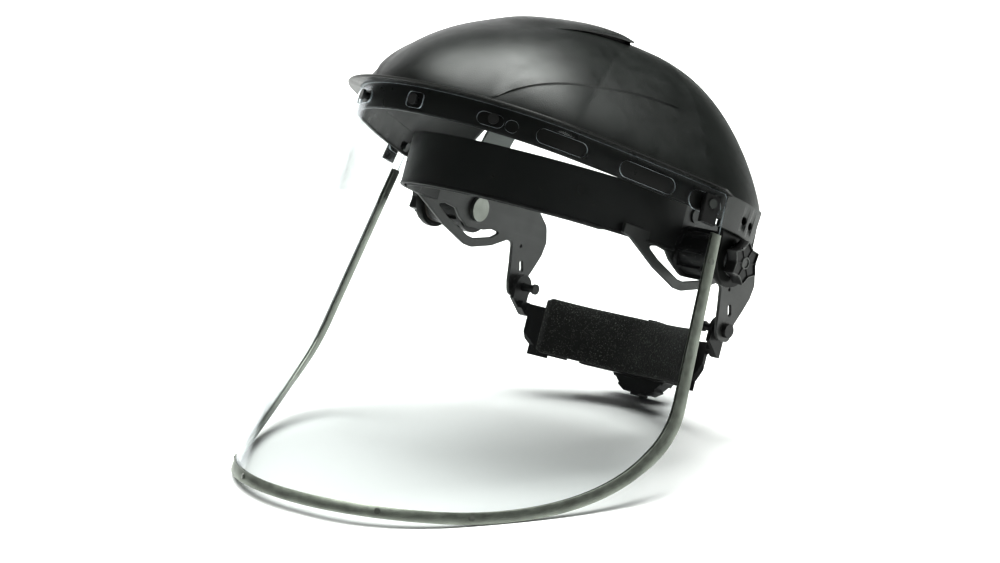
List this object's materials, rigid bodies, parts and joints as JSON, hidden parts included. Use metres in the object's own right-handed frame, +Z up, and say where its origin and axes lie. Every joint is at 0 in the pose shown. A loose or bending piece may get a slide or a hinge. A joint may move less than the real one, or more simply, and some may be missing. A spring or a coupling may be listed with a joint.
{
  "type": "face shield",
  "caption": "Face shield with a domed crown, a curved clear window in a metal edge binding, side tilt knobs and a ratchet headband.",
  "frame": {"origin": "under the middle of the shield's bounding box, on the surface it is set down on", "axes": "+Z up, the wearer faces -Y, the wearer's left is +X"},
  "size_m": [0.2638, 0.3096, 0.2392],
  "materials": {
    "crown_black": "fine textured satin",
    "clear_sheet": "clear polished polycarbonate",
    "aluminium_binding": "dull rolled",
    "rivet_metal": "dull",
    "stud_black": "moulded",
    "latch_black": "moulded",
    "knob_black": "moulded",
    "brass_insert": "machined",
    "steel": "zinc plated",
    "headband_black": "moulded",
    "brow_foam": "soft covered foam",
    "friction_fibre": "fibre",
    "strap_grey": "flexible moulded",
    "button_dark": "moulded",
    "nape_black": "moulded",
    "nape_foam": "speckled loop-faced foam",
    "spring_steel": "spring temper"
  },
  "bodies": {
    "head": {"headband": "headband_black", "brow_pad": "brow_foam", "pivot_hub_left": "headband_black", "pivot_hub_right": "headband_black", "pivot_bolt_left": "steel", "pivot_bolt_right": "steel", "friction_washers": "friction_fibre", "overhead_strap_left": "strap_grey", "overhead_strap_right": "strap_grey", "overhead_button": "button_dark", "band_rivets": "button_dark"},
    "visor": {"crown_shell": "crown_black", "window": "clear_sheet", "edge_binding": "aluminium_binding", "binding_rivets": "rivet_metal", "window_studs": "stud_black", "latch_pins": "button_dark", "knob_washers": "steel"},
    "latch_left": {"latch_left": "latch_black"},
    "latch_right": {"latch_right": "latch_black"},
    "tilt_knob_left": {"tilt_knob_left": "knob_black", "knob_insert_left": "brass_insert"},
    "tilt_knob_right": {"tilt_knob_right": "knob_black", "knob_insert_right": "brass_insert"},
    "nape_pins": {"nape_pins": "button_dark"},
    "ratchet": {"ratchet_housing": "nape_black", "ratchet_cover": "nape_black", "nape_pad": "nape_foam", "housing_screws": "steel", "detent_spring": "spring_steel"},
    "strap_left": {"nape_strap_left": "nape_black"},
    "strap_right": {"nape_strap_right": "nape_black"},
    "size_knob": {"size_knob": "knob_black", "ratchet_pinion": "nape_black", "knob_screw": "steel"}
  },
  "joints": [
    {"name": "visor_tilt", "type": "hinge", "parent": "head", "child": "visor", "pos_m": [0, 0.0802, 0.1102], "axis": [-1, 0, 0], "range_deg": [-10, 80]},
    {"name": "tilt_knob_left_turn", "type": "hinge", "parent": "head", "child": "tilt_knob_left", "pos_m": [0.1135, 0.0802, 0.1102], "axis": [1, 0, 0], "range_deg": [-270, 45]},
    {"name": "tilt_knob_right_turn", "type": "hinge", "parent": "head", "child": "tilt_knob_right", "pos_m": [-0.1135, 0.0802, 0.1102], "axis": [-1, 0, 0], "range_deg": [-270, 45]},
    {"name": "latch_left_turn", "type": "hinge", "parent": "visor", "child": "latch_left", "pos_m": [0.11126, 0.05357, 0.14725], "axis": [0.9499, -0.1997, 0.2403], "range_deg": [0, 90]},
    {"name": "latch_right_turn", "type": "hinge", "parent": "visor", "child": "latch_right", "pos_m": [-0.11126, 0.05357, 0.14725], "axis": [0.9499, 0.1997, -0.2403], "range_deg": [0, 90]},
    {"name": "nape_swing", "type": "hinge", "parent": "head", "child": "nape_pins", "pos_m": [0, 0.11503, 0.05809], "axis": [1, 0, 0], "range_deg": [-20, 25]},
    {"name": "nape_slide", "type": "slide", "parent": "nape_pins", "child": "ratchet", "axis": [0, -0.9252, 0.3795], "range_m": [0, 0.0049]},
    {"name": "strap_left_draw", "type": "hinge", "parent": "ratchet", "child": "strap_left", "pos_m": [0, 0.02858, 0.06868], "axis": [0, 0.3795, 0.9252], "range_deg": [0, 4.15]},
    {"name": "strap_right_draw", "type": "hinge", "parent": "ratchet", "child": "strap_right", "pos_m": [0, 0.02858, 0.06868], "axis": [0, -0.3795, -0.9252], "range_deg": [0, 4.15]},
    {"name": "size_knob_turn", "type": "hinge", "parent": "ratchet", "child": "size_knob", "pos_m": [0, 0.14146, 0.02239], "axis": [0, -0.9252, 0.3795], "range_deg": [0, 90]}
  ],
  "couplings": [
    {"joint": "nape_slide", "follows": "size_knob_turn", "m_per_rad": 0.0031191},
    {"joint": "strap_left_draw", "follows": "size_knob_turn", "ratio": 0.045956},
    {"joint": "strap_right_draw", "follows": "size_knob_turn", "ratio": 0.044964}
  ]
}
